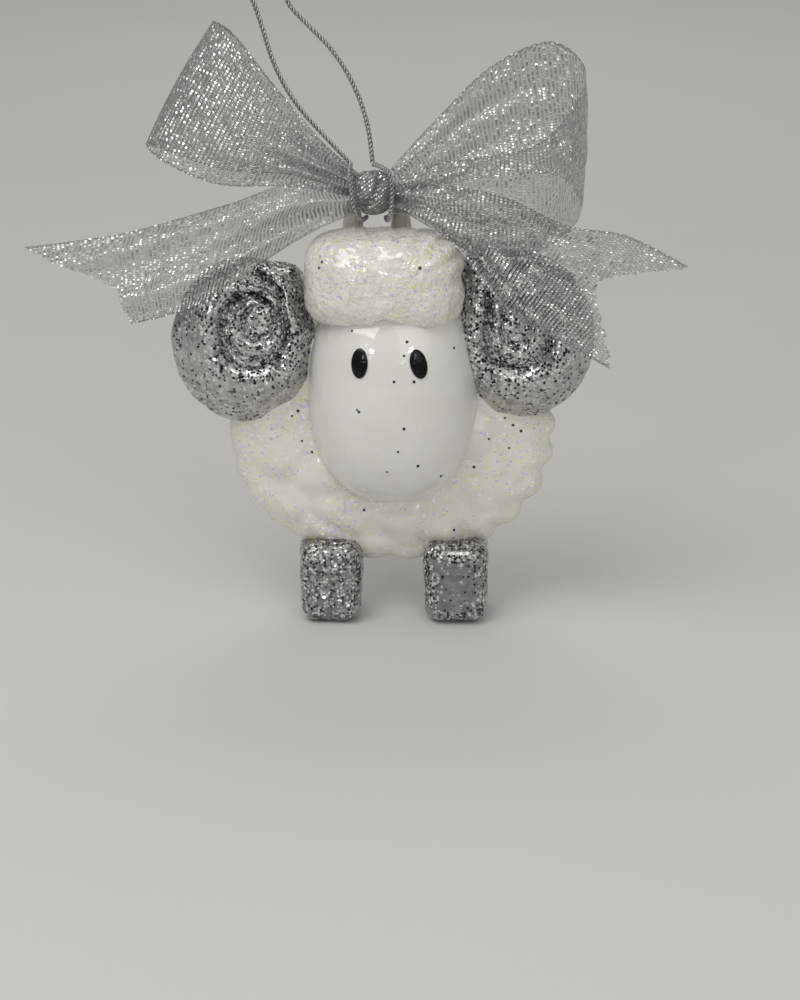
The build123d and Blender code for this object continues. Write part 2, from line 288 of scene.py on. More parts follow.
def ribbon_finish(name, sheer_alpha, shade):
    """Sheer organza with ribs of silver thread, which glint in short dashes across the ribbon; the brighter dashes
    are also painted glints.
    """
    material, shader = new_finish(name)
    uv = shader.add("ShaderNodeUVMap", {"uv_map": "weave"})
    u = shader.add("ShaderNodeSeparateXYZ", None, {0: uv}, "X")
    v = shader.add("ShaderNodeSeparateXYZ", None, {0: uv}, "Y")
    wander = shader.blotches(uv, 500.0, 2.0) - 0.5
    crinkle = shader.blotches(uv, 240.0, 3.0, 0.5)
    rib = v / (0.76 * MM) + wander * 0.6
    dash = u / (0.58 * MM) + rib.whole() * 0.5 + wander * 0.8
    cell = shader.add("ShaderNodeCombineXYZ", None, {0: rib.whole(), 1: dash.whole()})
    chance = shader.add("ShaderNodeTexWhiteNoise", {"noise_dimensions": "2D"}, {"Vector": cell})
    cell_colour = Socket(shader, chance.output.node.outputs["Color"])
    second = shader.add("ShaderNodeSeparateColor", None, {0: cell_colour}, 1)
    thread = 1 - (rib.part() - 0.5).size().step(0.2, 0.38)
    bead = 1 - (dash.part() - 0.5).size().step(0.3, 0.47)
    silver = thread * bead
    gap = thread * (1 - bead)
    ground = (u / (0.24 * MM)).part().step(0.2, 0.8) * (v / (0.24 * MM)).part().step(0.2, 0.8)
    selvedge = 1 - u.step(0.45 * MM, 0.6 * MM) * (1 - u.step(24.4 * MM, 24.55 * MM))
    # Brighter thread cells are painted glints, beside the real tilt of each cell
    painted_glint = chance > 0.55
    tone = (0.58 + second * 0.17 + painted_glint * 0.25) * shade
    thread_colour = shader.add("ShaderNodeCombineColor", None, {0: tone, 1: tone, 2: tone})
    ground_colour = shader.mix(ground, grey(0.12 * shade), grey(0.34 * shade))
    cover = silver.math("MAXIMUM", silver * 0.95, selvedge * 0.7)
    turned = shader.add("ShaderNodeVectorMath", {"operation": "SUBTRACT"}, {0: cell_colour, 1: (0.5, 0.5, 0.5)})
    turned = shader.add("ShaderNodeVectorMath", {"operation": "SCALE"}, {0: turned, "Scale": silver * 0.85})
    facing = shader.add("ShaderNodeNewGeometry", output="Normal")
    facing = shader.add("ShaderNodeVectorMath", {"operation": "ADD"}, {0: facing, 1: turned})
    facing = shader.add("ShaderNodeVectorMath", {"operation": "NORMALIZE"}, {0: facing})
    shader.surface(
        {
            "Base Color": shader.mix(silver, shader.mix(gap, ground_colour, grey(0.05)), thread_colour),
            "Roughness": 0.55 - silver * 0.3,
            "Metallic": silver * 0.9,
            "Alpha": sheer_alpha + (1 - sheer_alpha) * cover + gap * 0.35,
            "Normal": shader.bump(silver, 0.5, 0.12 * MM, shader.bump(crinkle, 1.0, 0.5 * MM, facing)),
        }
    )
    return material


def cord_finish():
    """Silver cord: fine metallic fibres with paler and darker stretches."""
    material, shader = new_finish("silver_cord")
    uv = shader.add("ShaderNodeUVMap", {"uv_map": "ply"})
    along = shader.add("ShaderNodeSeparateXYZ", None, {0: uv}, "X")
    around = shader.add("ShaderNodeSeparateXYZ", None, {0: uv}, "Y")
    place = shader.place()
    fibre = (around * 7.0 + along * 900.0).part()
    speckle = shader.blotches(place, 2600.0, 3.0)
    tone = 0.1 + speckle * 0.5 + (fibre - 0.5).size() * 0.3
    colour = shader.add("ShaderNodeCombineColor", None, {0: tone, 1: tone, 2: tone * 1.01})
    shader.surface(
        {
            "Base Color": colour,
            "Roughness": 0.24 + speckle * 0.2,
            "Metallic": 0.9,
            "Normal": shader.bump(fibre, 0.4, 0.05 * MM),
        }
    )
    return material


def floor_finish():
    """A plain pale matt table."""
    material, shader = new_finish("pale_table")
    cloud = shader.blotches(shader.place(), 9.0, 3.0)
    colour = shader.mix(cloud, (0.70, 0.70, 0.695, 1), (0.73, 0.73, 0.725, 1))
    shader.surface({"Base Color": colour, "Roughness": 0.65})
    return material


# Where the varnish stands in bead lines painted white as highlights: above each eye and over the front of the
# forelock
face_highlight_beads = [((-0.0052, -0.0155, 0.0555), 2.6 * MM), ((0.0026, -0.0155, 0.0555), 2.6 * MM)]
forelock_highlight_beads = [((-0.002, -0.0155, 0.069), 9.5 * MM)]
wool_clay = clay_finish("cream_wool", (0.82, 0.81, 0.755, 1), (0.78, 0.765, 0.70, 1), 0.5, 330.0, 0.06 * MM, 0.16)
face_clay = clay_finish("white_face", (0.83, 0.835, 0.825, 1), (0.80, 0.80, 0.785, 1), 0.0, 420.0, 0.1 * MM, 0.04, face_highlight_beads)
forelock_clay = clay_finish("cream_forelock", (0.85, 0.84, 0.78, 1), (0.80, 0.78, 0.70, 1), 0.7, 560.0, 0.42 * MM, 0.04, forelock_highlight_beads)
bar_clay = clay_finish("cream_bar", (0.78, 0.77, 0.71, 1), (0.62, 0.60, 0.54, 1), 0.1, 330.0, 0.05 * MM, 0.12)
horn_glitter = glitter_finish("horn_glitter", 0.85)
foot_glitter = glitter_finish("foot_glitter", 0.5)
bright_flake = flake_finish("bright_flake", 0.95, 0.9)
# Black flakes: real stray specks on the clay, and painted dark reflections among the glitter
speck_and_dark_reflection_flake = flake_finish("speck_and_dark_reflection_flake", 0.015, 0.2)
black_enamel = enamel_finish()
sheer_weave = ribbon_finish("sheer_weave", 0.28, 1.0)
# The gathered ribbon is a denser, darker copy of the sheer one: its darker tone is painted shade among the folds of
# the knot and band
gathered_shaded_weave = ribbon_finish("gathered_shaded_weave", 0.95, 0.75)
silver_cord = cord_finish()


# Shaping


def add_piece(name, mesh, finish, body, slot, *nodes):
    """A finished piece: smooth, in its finish, riding its body in place of its nodes."""
    mesh.name = name
    mesh.materials.clear()
    mesh.materials.append(finish)
    mesh.shade_smooth()
    piece = bpy.data.objects.new(name, mesh)
    scene.collection.objects.link(piece)
    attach(piece, body)
    if nodes:
        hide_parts(*nodes)
    return piece


def to_mesh(shape):
    mesh = bpy.data.meshes.new("shape")
    shape.to_mesh(mesh)
    shape.free()
    return mesh


def new_ball(around, along, pole):
    """A fine ball of radius 1 whose poles lie on the axis named."""
    turns = {"X": Matrix.Rotation(math.pi / 2, 4, "Y"), "Y": Matrix.Rotation(math.pi / 2, 4, "X")}
    shape = bmesh.new()
    placed = turns.get(pole, Matrix())
    bmesh.ops.create_uvsphere(shape, u_segments=around, v_segments=along, radius=1, matrix=placed)
    return shape


def from_front(way):
    """How far round a ball a point is from its front pole, from 0 to 1, and its angle from +X."""
    round_share = math.acos(max(-1, min(1, -way.y))) / math.pi
    return round_share, math.atan2(way.z, way.x)


def hump(angle, middle, spread):
    """1 at an angle in degrees and less to each side of it."""
    away = (math.degrees(angle) - middle + 180) % 360 - 180
    return math.exp(-((away / spread) ** 2))


def eased(value, low, high):
    """A soft step from 0 at low to 1 at high."""
    share = max(0, min(1, (value - low) / (high - low)))
    return share * share * (3 - 2 * share)


def oval_reach(angle, half_x, half_z, blunt):
    """How far a blunt oval reaches at an angle."""
    return (abs(math.cos(angle) / half_x) ** blunt + abs(math.sin(angle) / half_z) ** blunt) ** (-1 / blunt)


def roughen(shape, reach, height, seed):
    """Moves each point in or out along its normal by a smooth noise, as a thumb leaves clay."""
    shape.normal_update()
    shift = Vector((seed * 7.3, seed * 3.1, seed * 5.7))
    for vert in shape.verts:
        vert.co += vert.normal * height * noise.noise(vert.co / reach + shift)


def make_cushion(shape, middle, outline, front, rim, back, front_edge, back_edge, relief):
    """Moves a ball out to a cushion with an outline, a crowned front, a flat back and a low relief."""
    front_turn = 0.62
    for vert in shape.verts:
        turn, angle = from_front(vert.co.normalized())
        if turn < front_turn:
            share = turn / front_turn
            y = rim + (front - rim) * math.sqrt(max(1 - share**front_edge, 0))
        else:
            share = (1 - turn) / (1 - front_turn)
            y = rim + (back - rim) * math.sqrt(max(1 - share**back_edge, 0))
        reach = outline(angle, share)
        x = middle.x + reach * share * math.cos(angle)
        z = middle.z + reach * share * math.sin(angle)
        if turn < front_turn:
            y -= relief(x, z) * min(1, 6 * (1 - share))
        vert.co = Vector((x, y, z))
    bmesh.ops.recalc_face_normals(shape, faces=shape.faces)


def lumps(x, z, spacing, seed):
    """Low round lumps with valleys between them, from 0 to 1."""
    nearest = noise.voronoi(Vector((x / spacing, seed, z / spacing)))[0][0]
    return 1 - eased(nearest, 0.05, 0.75)


# Wool body: a flat-backed cushion of low lumps, with a scalloped rim

wool_low, wool_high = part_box("wool_body")
wool_middle = (wool_low + wool_high) / 2 + Vector((-0.3 * MM, 0, -0.4 * MM))
wool_half_x = (wool_high.x - wool_low.x) / 2
wool_half_z = (wool_high.z - wool_low.z) / 2 + 0.4 * MM


def wool_outline(angle, share):
    """An oval with round scallops, deeper on the right, and a low arch between the feet."""
    uneven = angle + 0.05 * math.sin(3 * angle + 1) + 0.03 * math.sin(7 * angle)
    scallop = abs(math.sin(12.5 * uneven + 0.4)) ** 0.8
    depth = (0.8 + 1.3 * eased(math.cos(angle), -0.4, 0.7)) * MM
    arch = 0.4 * MM * hump(angle, -90, 10)
    return oval_reach(angle, wool_half_x, wool_half_z, 2.15) - (depth * (1 - scallop) + arch) * share**5


def wool_relief(x, z):
    return 1.8 * MM * lumps(x, z, 9 * MM, 0.3) + 0.5 * MM * lumps(x, z, 5 * MM, 4.7)


def make_wool():
    shape = new_ball(300, 150, "Y")
    make_cushion(shape, wool_middle, wool_outline, -4.2 * MM, 1.0 * MM, wool_high.y, 3.2, 8, wool_relief)
    roughen(shape, 3.5 * MM, 0.22 * MM, 2)
    for _ in range(5):
        bmesh.ops.smooth_vert(
            shape, verts=shape.verts, factor=0.5, use_axis_x=True, use_axis_y=True, use_axis_z=True
        )
    for vert in shape.verts:
        vert.co.y = min(vert.co.y, wool_high.y)
    return add_piece("wool", to_mesh(shape), wool_clay, "figure", "wool", "wool_body")


# Face: a blunt egg

face_low, face_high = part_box("face")
face_middle = Vector(((face_low.x + face_high.x) / 2 + 0.5 * MM, face_high.y, (face_low.z + face_high.z) / 2))
face_half_x = (face_high.x - face_low.x) / 2
face_half_z = (face_high.z - face_low.z) / 2
face_depth = face_high.y - face_low.y


def make_face():
    """A ball moved out to a blunt oval whose back is sunk in the wool."""
    blunt = 2.45
    crown = 2.2
    chin_drop = 1.2 * MM
    back_depth = 3 * MM
    shape = new_ball(144, 96, "Z")
    for vert in shape.verts:
        way = vert.co.normalized()
        depth = face_depth if way.y < 0 else back_depth
        half_z = face_half_z if way.z > 0 else face_half_z + chin_drop
        flat = (abs(way.x / face_half_x) ** blunt + abs(way.z / half_z) ** blunt) ** (crown / blunt)
        vert.co = face_middle + way * (flat + abs(way.y / depth) ** crown) ** (-1 / crown)
    roughen(shape, 7 * MM, 0.16 * MM, 4)
    return add_piece("face_pad", to_mesh(shape), face_clay, "figure", "face", "face")


def skin_of(piece):
    return BVHTree.FromPolygons(
        [vert.co for vert in piece.data.vertices],
        [tuple(polygon.vertices) for polygon in piece.data.polygons],
    )


def front_of(skin, x, z):
    """The point of a skin that is met first from the front, and its normal."""
    start = Vector((x, cad_low.y - 10 * MM, z))
    hit, normal, _, _ = skin.ray_cast(start, Vector((0, 1, 0)))
    return hit, normal


# Eyes: raised drops of enamel on the face


def make_eye(name, face_skin, turn, node):
    """A ball pressed to a leaning oval that follows the face."""
    low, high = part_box(node)
    middle = (low + high) / 2
    half_width = 1.5 * MM
    half_height = 2.65 * MM
    proud = 0.5 * MM
    sunk = 0.35 * MM
    shape = new_ball(40, 24, "Y")
    lean = Matrix.Rotation(math.radians(turn), 3, "Y")
    for vert in shape.verts:
        spot = lean @ Vector((vert.co.x * half_width, 0, vert.co.z * half_height))
        hit, _ = front_of(face_skin, middle.x + spot.x, middle.z + spot.z)
        rise = -proud * math.sqrt(-vert.co.y) if vert.co.y < 0 else sunk * vert.co.y
        vert.co = hit + Vector((0, rise, 0))
    bmesh.ops.recalc_face_normals(shape, faces=shape.faces)
    return add_piece(name, to_mesh(shape), black_enamel, "figure", "enamel", node)


# Forelock: a cap of wool with two lobes, a notch between them and bumps on its right shoulder

forelock_low, forelock_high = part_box("forelock")
forelock_middle = (forelock_low + forelock_high) / 2 + Vector((0.6 * MM, 0, -0.3 * MM))


def forelock_outline(angle, share):
    half_x = (forelock_high.x - forelock_low.x) / 2 - 0.4 * MM
    half_z = (forelock_high.z - forelock_low.z) / 2 + 0.3 * MM
    notch = -1.9 * hump(angle, -88, 15)
    lobes = 0.6 * hump(angle, -148, 16) + 0.9 * hump(angle, -35, 16)
    shoulder = -1.0 * (hump(angle, 20, 4) + hump(angle, 36, 4) + 0.6 * hump(angle, 3, 5) + 0.5 * hump(angle, 52, 5))
    crown = -0.4 * (hump(angle, 75, 7) + hump(angle, 104, 7))
    reach = oval_reach(angle, half_x, half_z, 3.6)
    return reach + (notch + lobes + shoulder + crown) * MM * share**2


def forelock_relief(x, z):
    return 0.5 * MM * lumps(x, z, 8 * MM, 2.2)


def make_forelock():
    shape = new_ball(240, 130, "Y")
    front = forelock_low.y + 0.4 * MM
    rim = forelock_middle.y - 1.0 * MM
    make_cushion(
        shape, forelock_middle, forelock_outline, front, rim, forelock_high.y, 3.4, 4, forelock_relief
    )
    roughen(shape, 3 * MM, 0.22 * MM, 6)
    roughen(shape, 1.3 * MM, 0.16 * MM, 7)
    return add_piece("forelock_cap", to_mesh(shape), forelock_clay, "figure", "forelock", "forelock")


# Horns: a roll coiled in on itself


def set_glitter(mesh, thickness):
    """How thick the glitter lies, point by point, for the finish to read."""
    layer = mesh.attributes.new("glitter", "FLOAT", "POINT")
    for vert, value in zip(mesh.vertices, layer.data):
        value.value = thickness(vert.co)


def make_horn(name, node, side, shift, knob):
    """A ball moved out to an oval dome, with the groove of a coil that winds in to an off-centre knob."""
    low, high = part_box(node)
    middle = (low + high) / 2 + shift
    half_x = (high.x - low.x) / 2
    half_z = (high.z - low.z) / 2
    rim_y = -2.6 * MM
    top_y = -9.2 * MM
    growth = 0.45
    roll_height = 4.5 * MM
    bead_height = 1.1 * MM
    bead_reach = 2.4 * MM
    root_angle = 48 if side < 0 else 131
    root_reach = 0.36
    front_turn = 0.74
    wall_share = 0.45
    shape = new_ball(220, 150, "Y")
    for vert in shape.verts:
        turn, angle = from_front(vert.co.normalized())
        out = Vector((math.cos(angle), math.sin(angle)))
        a = (out.x / half_x) ** 2 + (out.y / half_z) ** 2
        b = knob.x * out.x / half_x**2 + knob.y * out.y / half_z**2
        c = (knob.x / half_x) ** 2 + (knob.y / half_z) ** 2 - 1
        root = hump(angle, root_angle, 26)
        rim = knob + out * ((-b + math.sqrt(b * b - a * c)) / a) * (1 + root_reach * root)
        if turn <= front_turn:
            share = turn / front_turn
            spot = knob + (rim - knob) * share
            outer_angle = math.degrees(angle if side < 0 else math.atan2(out.y, -out.x))
            wound = math.log(max(share, 0.05)) / math.log(growth) + eased(outer_angle, 10, 130)
            across = 1 - (wound - math.floor(wound))
            roll = math.sin(math.pi * across**0.9) ** 0.8
            dome = (1 - share**2.2) ** 0.6
            fade = eased(share, 0.1, 0.28) * eased(1 - share, 0, 0.16)
            bead = bead_height * math.exp(-(((spot - knob).length / bead_reach) ** 2))
            y = rim_y + (top_y - rim_y) * dome + roll_height * (0.55 - roll) * share**0.6 * fade - bead
            y += (rim_y - y) * 0.7 * root * eased(share, 0.5, 0.95)
        else:
            share = (turn - front_turn) / (1 - front_turn)
            wall = min(share / wall_share, 1)
            spot = rim * (1 - 0.1 * wall**3) * (1 - max(share - wall_share, 0) / (1 - wall_share))
            y = rim_y + (high.y - rim_y) * math.sin(wall * math.pi / 2)
        vert.co = Vector((middle.x + spot.x, y, middle.z + spot.y))
    bmesh.ops.recalc_face_normals(shape, faces=shape.faces)
    roughen(shape, 3.5 * MM, 0.3 * MM, 9 + side)
    mesh = to_mesh(shape)
    centre = Vector((middle.x + knob.x, middle.z + knob.y))

    def thickness(spot):
        away = (Vector((spot.x, spot.z)) - centre).length
        return 0.95 - 0.68 * eased(away, 8 * MM, 15.5 * MM)

    set_glitter(mesh, thickness)
    return add_piece(name, mesh, horn_glitter, "figure", "glitter", node)


# Feet: rounded blocks, a little wider at the top


def make_foot(name, node, seed, flare, front_thickness):
    """A block with rounded edges, pressed a little uneven, with a flat sole."""
    low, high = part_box(node)
    middle = (low + high) / 2
    size = high - low
    shape = bmesh.new()
    placed = Matrix.Translation(middle) @ Matrix.Diagonal((*size, 1))
    bmesh.ops.create_cube(shape, size=1, matrix=placed)
    bmesh.ops.bevel(
        shape,
        geom=shape.edges[:],
        offset=3.1 * MM,
        segments=6,
        affect="EDGES",
        profile=0.5,
        material=-1,
    )
    bmesh.ops.subdivide_edges(shape, edges=shape.edges[:], cuts=5, use_grid_fill=True)
    roughen(shape, 5 * MM, 0.5 * MM, seed)
    for vert in shape.verts:
        rise = (vert.co.z - low.z) / size.z
        narrow = 1 - flare * (1 - rise)
        vert.co.x = middle.x + (vert.co.x - middle.x) * narrow
        vert.co.y = middle.y + (vert.co.y - middle.y) * narrow
        vert.co.z = max(vert.co.z, 0)
    bmesh.ops.recalc_face_normals(shape, faces=shape.faces)
    mesh = to_mesh(shape)

    def thickness(spot):
        aside = abs(spot.x - middle.x) / (size.x / 2)
        upward = abs(spot.z - middle.z) / (size.z / 2)
        return front_thickness + (0.75 - front_thickness) * eased(max(aside, upward), 0.45, 0.85)

    set_glitter(mesh, thickness)
    return add_piece(name, mesh, foot_glitter, "figure", "glitter", node)


# Hanging eye: a bar bent like a staple, with flared feet


def make_hanging_eye():
    low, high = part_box("hanging_eye")
    radius = (high.y - low.y) / 2
    bend = 3.0 * MM
    left_x = low.x + radius
    right_x = high.x - radius
    y = (low.y + high.y) / 2
    shape = bmesh.new()
    ring = bmesh.ops.create_circle(
        shape, cap_ends=True, segments=20, radius=radius * 1.3, matrix=Matrix.Translation((left_x, y, low.z))
    )
    edges = list({edge for vert in ring["verts"] for edge in vert.link_edges})

    def grow(edges, move, scale):
        made = bmesh.ops.extrude_edge_only(shape, edges=edges)["geom"]
        verts = [part for part in made if isinstance(part, bmesh.types.BMVert)]
        bmesh.ops.translate(shape, verts=verts, vec=move)
        middle = sum((vert.co for vert in verts), Vector()) / len(verts)
        bmesh.ops.scale(shape, verts=verts, vec=(scale,) * 3, space=Matrix.Translation(-middle))
        return [part for part in made if isinstance(part, bmesh.types.BMEdge) and part.is_boundary]

    def turn(edges, centre):
        verts = {vert for edge in edges for vert in edge.verts}
        made = bmesh.ops.spin(
            shape, geom=[*verts, *edges], cent=centre, axis=(0, 1, 0), angle=math.pi / 2, steps=8
        )["geom_last"]
        return [part for part in made if isinstance(part, bmesh.types.BMEdge)]

    top = high.z - radius
    rise = top - bend - low.z
    edges = grow(edges, Vector((0, 0, rise * 0.62)), 1.0)
    edges = grow(edges, Vector((0, 0, rise * 0.2)), 0.84)
    edges = grow(edges, Vector((0, 0, rise * 0.18)), 0.92)
    edges = turn(edges, Vector((left_x + bend, y, top - bend)))
    edges = grow(edges, Vector((right_x - left_x - 2 * bend, 0, 0)), 1.0)
    edges = turn(edges, Vector((right_x - bend, y, top - bend)))
    edges = grow(edges, Vector((0, 0, -rise * 0.18)), 1.08)
    edges = grow(edges, Vector((0, 0, -rise * 0.2)), 1.19)
    edges = grow(edges, Vector((0, 0, -rise * 0.62)), 1.0)
    bmesh.ops.contextual_create(shape, geom=edges)
    bmesh.ops.recalc_face_normals(shape, faces=shape.faces)
    piece = add_piece("eye_bar", to_mesh(shape), bar_clay, "figure", "eye_bar", "hanging_eye")
    rounding = piece.modifiers.new("rounding", "SUBSURF")
    rounding.levels = 2
    rounding.render_levels = 2
    return piece


# Cord

knot_low, knot_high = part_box("ribbon_knot")
knot_middle = (knot_low + knot_high) / 2
cord_radius = 0.5 * MM
cord_foot = Vector((knot_middle.x, -1.7 * MM, knot_high.z + 0.9 * MM))


def from_foot(dx, dy, dz):
    """A place measured from where the right end of the loop leaves the knot."""
    return cord_foot + Vector((dx, dy, dz)) * MM


hanger_route = [
    from_foot(-3.9, 0, 0),
    from_foot(-8.7, 1.7, 4.6),
    from_foot(-14.1, 2.7, 10.4),
    from_foot(-17.7, 3.7, 16.8),
    from_foot(-19.6, 4.7, 22.9),
    from_foot(-21.1, 5.4, 27.6),
    from_foot(-23.2, 5.8, 31.5),
    from_foot(-21.9, 6.0, 35.3),
    from_foot(-18.0, 6.0, 35.7),
    from_foot(-15.6, 5.9, 32.3),
    from_foot(-15.8, 5.6, 28.0),
    from_foot(-11.6, 5.1, 23.9),
    from_foot(-7.1, 4.6, 19.5),
    from_foot(-3.8, 3.6, 14.4),
    from_foot(-1.6, 2.6, 9.2),
    from_foot(-0.4, 1.4, 4.2),
    from_foot(0, 0, 0),
]


def round_knot(across, forward, up):
    """A place round the knot, in shares of its half sizes with the cord lying on it."""
    return knot_middle + Vector((across * 4.8, -forward * 3.8, up * 4.65)) * MM


eye_low, eye_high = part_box("hanging_eye")
hole_middle = Vector(((eye_low.x + eye_high.x) / 2, (eye_low.y + eye_high.y) / 2, 77.1 * MM))


def in_hole(across, forward, drop):
    """A place in the hole of the eye, under the band."""
    return hole_middle + Vector((across * 2.8, -forward, -drop)) * MM


left_tie_route = [
    hanger_route[0],
    round_knot(-0.86, 0.26, 0.96),
    round_knot(-0.84, 0.9, 0.78),
    round_knot(-0.76, 1.0, 0.08),
    round_knot(-0.68, 0.97, -0.6),
    round_knot(-0.46, 0.47, -1.05),
    in_hole(-0.71, 3.4, 0),
    in_hole(-0.68, 1.0, 0.3),
]
right_tie_route = [
    hanger_route[-1],
    round_knot(0.38, 0.2, 1.03),
    round_knot(0.67, 0.79, 0.86),
    round_knot(0.77, 0.98, 0.17),
    round_knot(0.71, 0.95, -0.56),
    round_knot(0.58, 0.47, -1.05),
    in_hole(0.64, 3.4, 0),
    in_hole(0.61, 1.0, 0.3),
]


def new_curve(name, lines, kind, bevel):
    """A curve through one or more lists of points."""
    curve = bpy.data.curves.new(name, "CURVE")
    curve.dimensions = "3D"
    curve.resolution_u = 44
    curve.bevel_depth = bevel
    curve.bevel_resolution = 2
    curve.use_fill_caps = True
    for line in lines:
        spline = curve.splines.new(kind)
        spline.points.add(len(line) - 1)
        for point, spot in zip(spline.points, line):
            point.co = (*spot, 1)
        if kind == "NURBS":
            spline.order_u = 3
            spline.use_endpoint_u = True
    return curve


def curve_mesh(curve):
    holder = bpy.data.objects.new("curve", curve)
    mesh = bpy.data.meshes.new_from_object(holder)
    bpy.data.objects.remove(holder)
    bpy.data.curves.remove(curve)
    return mesh


def smooth_line(route):
    """The points of the smooth curve that a route's points control."""
    mesh = curve_mesh(new_curve("route", [route], "NURBS", 0))
    line = [vert.co.copy() for vert in mesh.vertices]
    bpy.data.meshes.remove(mesh)
    return line


def strands(line, ply, pitch):
    """The middles of the strands that twist round a line."""
    tangents = [(after - before).normalized() for before, after in zip(line, line[1:])]
    tangents.append(tangents[-1])
    aside = tangents[0].orthogonal().normalized()
    run = 0.0
    found = [[] for _ in range(ply)]
    for number, point in enumerate(line):
        if number:
            run += (point - line[number - 1]).length
            aside.rotate(tangents[number - 1].rotation_difference(tangents[number]))
        for strand in range(ply):
            twist = math.tau * (run / pitch + strand / ply)
            out = aside.copy()
            out.rotate(Matrix.Rotation(twist, 3, tangents[number]))
            found[strand].append(point + out * cord_radius * 0.46)
    return found


def cord_mesh(lines):
    """Two-ply twisted cord along each line, with its ply coordinates."""
    twisted = [strand for line in lines for strand in strands(line, 2, 1.6 * MM)]
    mesh = curve_mesh(new_curve("plies", twisted, "POLY", cord_radius * 0.47))
    layer = mesh.uv_layers.new(name="ply") if not mesh.uv_layers else mesh.uv_layers[0]
    layer.name = "ply"
    return mesh


def make_cords():
    hanger_line = smooth_line(hanger_route)
    hanger = add_piece("hanger_loop", cord_mesh([hanger_line]), silver_cord, "hanger", "cord", "hanger_cord")
    [tuple(point) for point in hanger_line]
    tie_lines = [smooth_line(left_tie_route), smooth_line(right_tie_route)]
    add_piece("knot_ties", cord_mesh(tie_lines), silver_cord, "bow", "cord", "cord_ties")


# Ribbon

ribbon_width = 25 * MM
tail_front = -11 * MM


def by_knot(dx, dy, dz):
    return knot_middle + Vector((dx, dy, dz)) * MM


def on_tail(dx, forward, dz):
    """A place beside the knot, forward of it by a share of the way to the front of the horns."""
    y = knot_middle.y + forward * (tail_front - knot_middle.y)
    return Vector((knot_middle.x + dx * MM, y, knot_middle.z + dz * MM))


def between(values, share):
    """A smooth curve through values, at a share of its whole run."""
    spans = len(values) - 1
    number = min(int(share * spans), spans - 1)
    step = share * spans - number
    before = values[max(number - 1, 0)]
    here = values[number]
    following = values[number + 1]
    after = values[min(number + 2, spans)]
    bend = (following - before) * step + (before * 2 - here * 5 + following * 4 - after) * step**2
    return here + (bend + (here * 3 - before - following * 3 + after) * step**3) * 0.5


def make_ribbon(name, node, stations, rows, pleats, flatness, seed, cut=None):
    """A sheer sheet through stations of (middle, across, gather, bow), pleated where it is gathered."""
    chance = random.Random(seed)
    columns = 72
    middles = [middle for middle, _, _, _ in stations]
    acrosses = [Vector(across).normalized() for _, across, _, _ in stations]
    gathers = [gather for _, _, gather, _ in stations]
    bows = [bow * MM for _, _, _, bow in stations]
    samples = 240
    line = [between(middles, number / samples) for number in range(samples + 1)]
    runs = [0.0]
    for before, after in zip(line, line[1:]):
        runs.append(runs[-1] + (after - before).length)
    shape = bmesh.new()
    weave = shape.loops.layers.uv.new("weave")
    bmesh.ops.create_grid(shape, x_segments=columns, y_segments=rows, size=0.5)
    fray = [chance.uniform(-0.35, 0.35) * MM / runs[-1] for _ in range(columns + 1)]
    spots = {}
    for vert in shape.verts:
        u = vert.co.x + 0.5
        share = vert.co.y + 0.5
        if cut:
            share *= cut(u) + fray[round(u * columns)] * share**8
        spots[vert] = (u, min(share, 1.0))
    for face in shape.faces:
        for loop in face.loops:
            u, share = spots[loop.vert]
            number = min(int(share * samples), samples - 1)
            run = runs[number] + (share * samples - number) * (runs[number + 1] - runs[number])
            loop[weave].uv = (u * ribbon_width, run)
    for vert, (u, share) in spots.items():
        middle = between(middles, share)
        across = between(acrosses, share).normalized()
        gather = max(between(gathers, share), 0.1)
        step = 0.5 / samples
        along = (between(middles, min(share + step, 1)) - between(middles, max(share - step, 0))).normalized()
        out = across.cross(along).normalized()
        width = gather * ribbon_width
        rise = between(bows, share) * 4 * u * (1 - u)
        spare = math.sqrt(max(1 / gather - 1, 0))
        height = min(width / (math.pi * pleats) * spare, 0.9 * MM + 0.1 * width)
        height *= 1 - flatness * eased(gather, 0.2, 0.6)
        wave = math.sin(math.tau * pleats * u + 2.2 * math.sin(3 * share + seed))
        wave += 0.4 * math.sin(math.tau * (1.7 * pleats) * u + 4 * share + 2 * seed)
        vert.co = middle + across * width * (u - 0.5) + out * (rise + height * wave)
    piece = add_piece(name, to_mesh(shape), sheer_weave, "bow", "ribbon", node)
    if cut:
        ends = [cut(number / columns) for number in range(columns + 1)]
        cut_area = ribbon_width * runs[-1] * sum(ends) / len(ends)
        runs[-1] * max(ends)
    return piece


def make_left_loop():
    """Out along the front, round the fold at the far end and back along the rear."""
    slant = (0.5, 0.08, 0.86)
    stations = [
        (by_knot(-3.2, 0.9, 1.2), (0.2, 0, 1), 0.16, 0.3),
        (by_knot(-12.6, 0.0, 5.4), (0.35, 0, 0.94), 0.36, 0.6),
        (by_knot(-23.0, -2.2, 10.0), (0.45, 0.05, 0.89), 0.74, 1.2),
        (by_knot(-31.0, -0.4, 16.0), slant, 0.98, 1.0),
        (by_knot(-34.8, 4.0, 18.9), slant, 1.0, 0.6),
        (by_knot(-31.4, 8.4, 16.4), slant, 0.98, 0.9),
        (by_knot(-23.0, 9.4, 10.4), (0.45, 0.05, 0.89), 0.74, 1.0),
        (by_knot(-12.6, 6.8, 6.0), (0.35, 0, 0.94), 0.36, 0.7),
        (by_knot(-3.2, 2.4, 1.2), (0.2, 0, 1), 0.16, 0.3),
    ]
    make_ribbon("left_loop", "ribbon_left_loop", stations, 130, 3, 0.85, 1)


